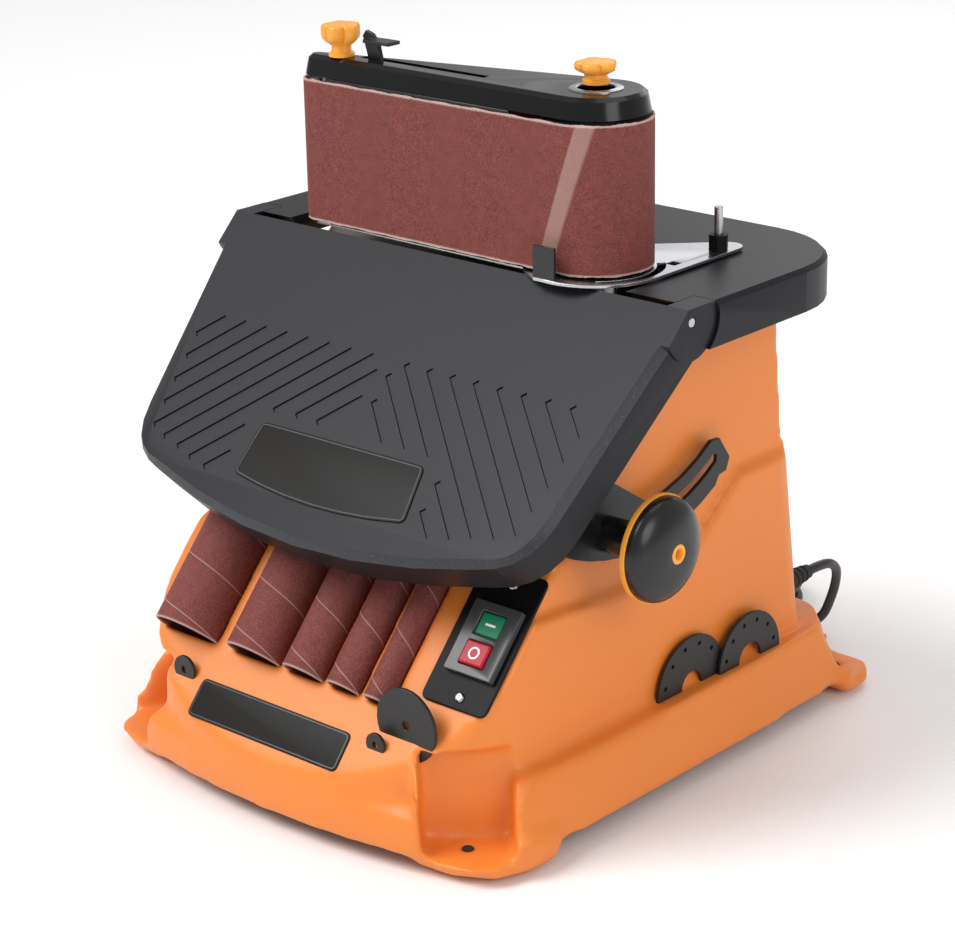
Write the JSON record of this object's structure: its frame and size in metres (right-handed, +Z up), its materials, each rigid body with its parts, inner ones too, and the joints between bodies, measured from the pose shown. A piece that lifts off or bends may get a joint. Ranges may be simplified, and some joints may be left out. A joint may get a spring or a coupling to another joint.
{
  "type": "oscillating spindle sander",
  "caption": "Benchtop oscillating spindle sander with an upright belt unit, fixed rear table, tilting front table, stored drum sleeves and a sloping switch panel.",
  "frame": {"origin": "on the ground under the middle of the machine's width and depth, without the free cord", "axes": "+X to the operator's right, -Y to the front where the table tilts, +Z up"},
  "size_m": [0.439, 0.5668, 0.4935],
  "materials": {
    "orange_plastic": "satin moulded plastic",
    "cast_table": "dark grey ground casting",
    "black_steel": "black enamel on pressed steel",
    "gloss_black": "glossy black",
    "bright_steel": "bright steel",
    "cast_alloy": "as cast",
    "abrasive": "red brown abrasive cloth",
    "rubber": "matt black rubber",
    "knob_orange": "orange moulded plastic",
    "knob_black": "black moulded plastic",
    "black_panel": "black panel",
    "smoke_plastic": "dark grey",
    "green_plastic": "green",
    "red_plastic": "red",
    "insert_plastic": "black moulded plastic",
    "cord_jacket": "black cord jacket",
    "brass": "turned brass"
  },
  "bodies": {
    "housing": {"base_housing": "orange_plastic", "bottom_cover": "black_steel", "cord_coil": "cord_jacket", "cord_gland": "cord_jacket", "drive_belt": "rubber", "drive_frame": "cast_alloy", "dust_port": "black_panel", "fixed_table": "cast_table", "guide_pin": "bright_steel", "hinge_pin_left": "bright_steel", "hinge_pin_right": "bright_steel", "motor_housing": "cast_alloy", "plate_screw_lower": "bright_steel", "plate_screw_upper": "bright_steel", "plug": "cord_jacket", "power_cord": "cord_jacket", "rubber_foot_front_left": "rubber", "rubber_foot_front_right": "rubber", "rubber_foot_rear_left": "rubber", "rubber_foot_rear_right": "rubber", "stored_sleeve_1": "abrasive", "stored_sleeve_2": "abrasive", "stored_sleeve_3": "abrasive", "stored_sleeve_4": "abrasive", "stored_sleeve_5": "abrasive", "stored_washer_large": "insert_plastic", "stored_washer_small_left": "insert_plastic", "stored_washer_small_right": "insert_plastic", "switch_bezel": "smoke_plastic", "switch_plate": "black_panel", "table_insert_1": "insert_plastic", "table_insert_2": "insert_plastic"},
    "tilting_table": {"tilt_table": "cast_table", "tilt_quadrant_left": "black_steel", "tilt_quadrant_right": "black_steel"},
    "lock_knob_right": {"tilt_knob_right": "knob_black"},
    "lock_knob_left": {"tilt_knob_left": "knob_black"},
    "carriage": {"belt_base_plate": "bright_steel", "guide_bush": "black_panel", "sanding_belt": "abrasive", "belt_top_cover": "gloss_black", "platen": "bright_steel", "quill": "bright_steel", "bearing_upper": "bright_steel", "bearing_lower": "bright_steel"},
    "spindle_set": {"spindle": "bright_steel", "drive_drum": "rubber", "drum_washer": "bright_steel", "drum_knob": "knob_orange"},
    "idler_carrier": {"idler_arm": "bright_steel"},
    "idler_roller": {"idler_drum": "bright_steel"},
    "lever": {"tension_lever": "black_steel"},
    "tracking": {"tracking_knob": "knob_orange"},
    "green_push": {"green_button": "green_plastic"},
    "red_push": {"red_button": "red_plastic"},
    "lower_pulley": {"spindle_pulley": "cast_alloy"},
    "rotor": {"motor_rotor": "bright_steel"},
    "worm_gear": {"worm_wheel": "brass"}
  },
  "joints": [
    {"name": "table_tilt", "type": "hinge", "parent": "housing", "child": "tilting_table", "pos_m": [0, -0.03, 0.341], "axis": [-1, 0, 0], "range_deg": [0, 45]},
    {"name": "lock_turn_right", "type": "hinge", "parent": "housing", "child": "lock_knob_right", "pos_m": [0.206, -0.0616, 0.19846], "axis": [1, 0, 0], "range_deg": [-180, 180]},
    {"name": "lock_turn_left", "type": "hinge", "parent": "housing", "child": "lock_knob_left", "pos_m": [-0.206, -0.0616, 0.19846], "axis": [-1, 0, 0], "range_deg": [-180, 180]},
    {"name": "oscillation", "type": "slide", "parent": "housing", "child": "carriage", "axis": [0, 0, 1], "range_m": [0, 0.016]},
    {"name": "spindle_spin", "type": "hinge", "parent": "carriage", "child": "spindle_set", "pos_m": [0.1, 0.003, 0.3513], "axis": [0, 0, 1], "continuous": true},
    {"name": "idler_shift", "type": "slide", "parent": "carriage", "child": "idler_carrier", "axis": [1, 0, 0], "range_m": [0, 0.006]},
    {"name": "idler_spin", "type": "hinge", "parent": "idler_carrier", "child": "idler_roller", "pos_m": [-0.127, -0.0218, 0.3549], "axis": [0, 0, 1], "continuous": true},
    {"name": "lever_turn", "type": "hinge", "parent": "carriage", "child": "lever", "pos_m": [-0.036, -0.013, 0.432], "axis": [0, 1, 0], "range_deg": [0, 70]},
    {"name": "tracking_turn", "type": "hinge", "parent": "carriage", "child": "tracking", "pos_m": [-0.106, -0.02, 0.471], "axis": [0, 0, 1], "range_deg": [-180, 180]},
    {"name": "green_press", "type": "slide", "parent": "housing", "child": "green_push", "axis": [0, 0.7431, -0.6691], "range_m": [0, 0.003], "stiffness_N_per_m": 300},
    {"name": "red_press", "type": "slide", "parent": "housing", "child": "red_push", "axis": [0, 0.7431, -0.6691], "range_m": [0, 0.003], "stiffness_N_per_m": 300},
    {"name": "lower_pulley_spin", "type": "hinge", "parent": "housing", "child": "lower_pulley", "pos_m": [0.1, 0.003, 0.108], "axis": [0, 0, 1], "continuous": true},
    {"name": "motor_spin", "type": "hinge", "parent": "housing", "child": "rotor", "pos_m": [-0.055, 0.052, 0.108], "axis": [0, 0, 1], "continuous": true},
    {"name": "worm_wheel_turn", "type": "hinge", "parent": "housing", "child": "worm_gear", "pos_m": [0.1, -0.0266, 0.151], "axis": [1, 0, 0], "continuous": true}
  ],
  "couplings": [
    {"joint": "idler_shift", "follows": "lever_turn", "m_per_rad": 0.004911},
    {"joint": "idler_spin", "follows": "spindle_spin", "ratio": 3.8316},
    {"joint": "lower_pulley_spin", "follows": "spindle_spin", "ratio": 1},
    {"joint": "motor_spin", "follows": "spindle_spin", "ratio": 1.4222},
    {"joint": "worm_wheel_turn", "follows": "spindle_spin", "ratio": 0.02941}
  ]
}
